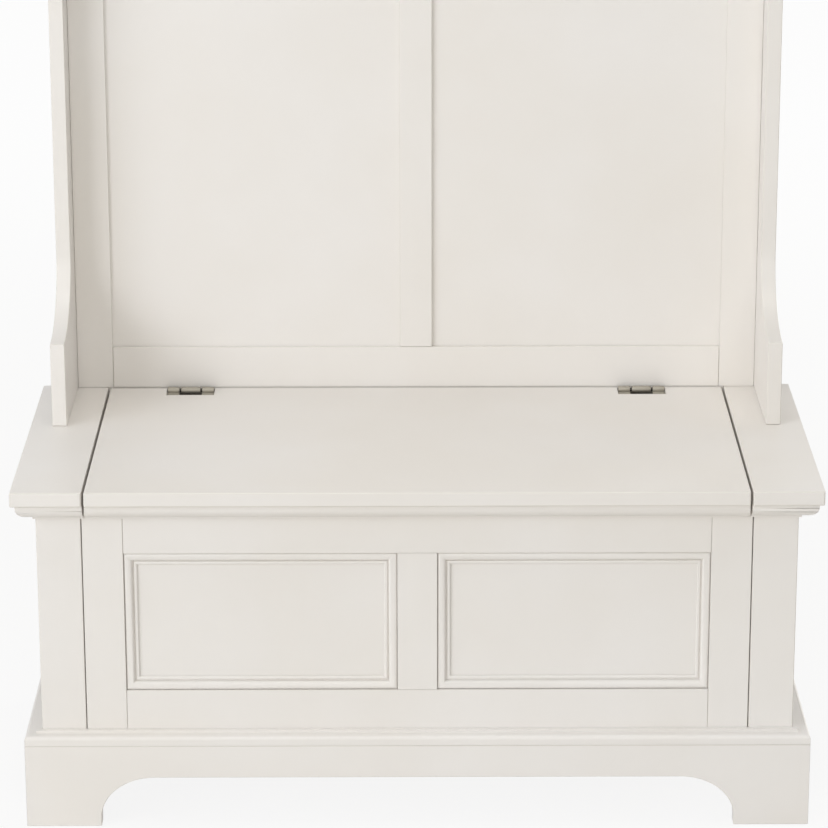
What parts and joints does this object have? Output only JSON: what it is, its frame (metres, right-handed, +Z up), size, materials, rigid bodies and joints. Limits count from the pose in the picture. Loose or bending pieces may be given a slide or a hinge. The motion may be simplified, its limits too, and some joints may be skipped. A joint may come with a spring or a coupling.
{
  "type": "hall tree bench",
  "caption": "Hall tree with a storage bench under a hinged lid, a panelled front on bracket feet, and a tall panelled back with coat hooks and a moulded top shelf.",
  "frame": {"origin": "on the floor, at the middle of the bench top's width and depth", "axes": "+Z up, -Y towards the sitter's side (the front), +X to the right seen from the front"},
  "size_m": [1.03, 0.47, 1.75],
  "materials": {
    "paint": "satin warm white paint on wood",
    "nickel": "satin nickel plate",
    "bumper": "matt moulded rubber"
  },
  "bodies": {
    "bench": {"plinth_front": "paint", "plinth_left": "paint", "plinth_right": "paint", "base_moulding_front": "paint", "base_moulding_left": "paint", "base_moulding_right": "paint", "front_post_left": "paint", "front_post_right": "paint", "rear_post_left": "paint", "rear_post_right": "paint", "side_top_rail_left": "paint", "side_top_rail_right": "paint", "side_bottom_rail_left": "paint", "side_bottom_rail_right": "paint", "side_panel_left": "paint", "side_panel_right": "paint", "front_stile_left": "paint", "front_stile_right": "paint", "front_top_rail": "paint", "front_bottom_rail": "paint", "front_muntin": "paint", "front_panel_left": "paint", "front_panel_right": "paint", "panel_moulding_left": "paint", "panel_moulding_right": "paint", "hinge_rail": "paint", "back_bottom_rail": "paint", "bench_back_panel": "paint", "floor_panel": "paint", "top_board_left": "paint", "top_board_right": "paint", "top_moulding_left": "paint", "top_moulding_right": "paint", "upper_side_left": "paint", "upper_side_right": "paint", "upper_stile_left": "paint", "upper_stile_right": "paint", "upper_centre_stile": "paint", "upper_bottom_rail": "paint", "hook_rail": "paint", "upper_back_panel": "paint", "top_fascia": "paint", "top_shelf": "paint", "cornice_front": "paint", "cornice_left": "paint", "cornice_right": "paint", "coat_hook_1": "nickel", "coat_hook_2": "nickel", "coat_hook_3": "nickel", "coat_hook_4": "nickel", "hinge_frame_leaf_left": "nickel", "hinge_frame_leaf_right": "nickel", "hinge_pin_left": "nickel", "hinge_pin_right": "nickel"},
    "lid": {"lid_board": "paint", "lid_moulding": "paint", "hinge_lid_leaf_left": "nickel", "hinge_lid_leaf_right": "nickel", "lid_bumper_left": "bumper", "lid_bumper_right": "bumper"}
  },
  "joints": [
    {"name": "lid_hinge", "type": "hinge", "parent": "bench", "child": "lid", "pos_m": [0, 0.2104, 0.4585], "axis": [-1, 0, 0], "range_deg": [0, 90]}
  ]
}
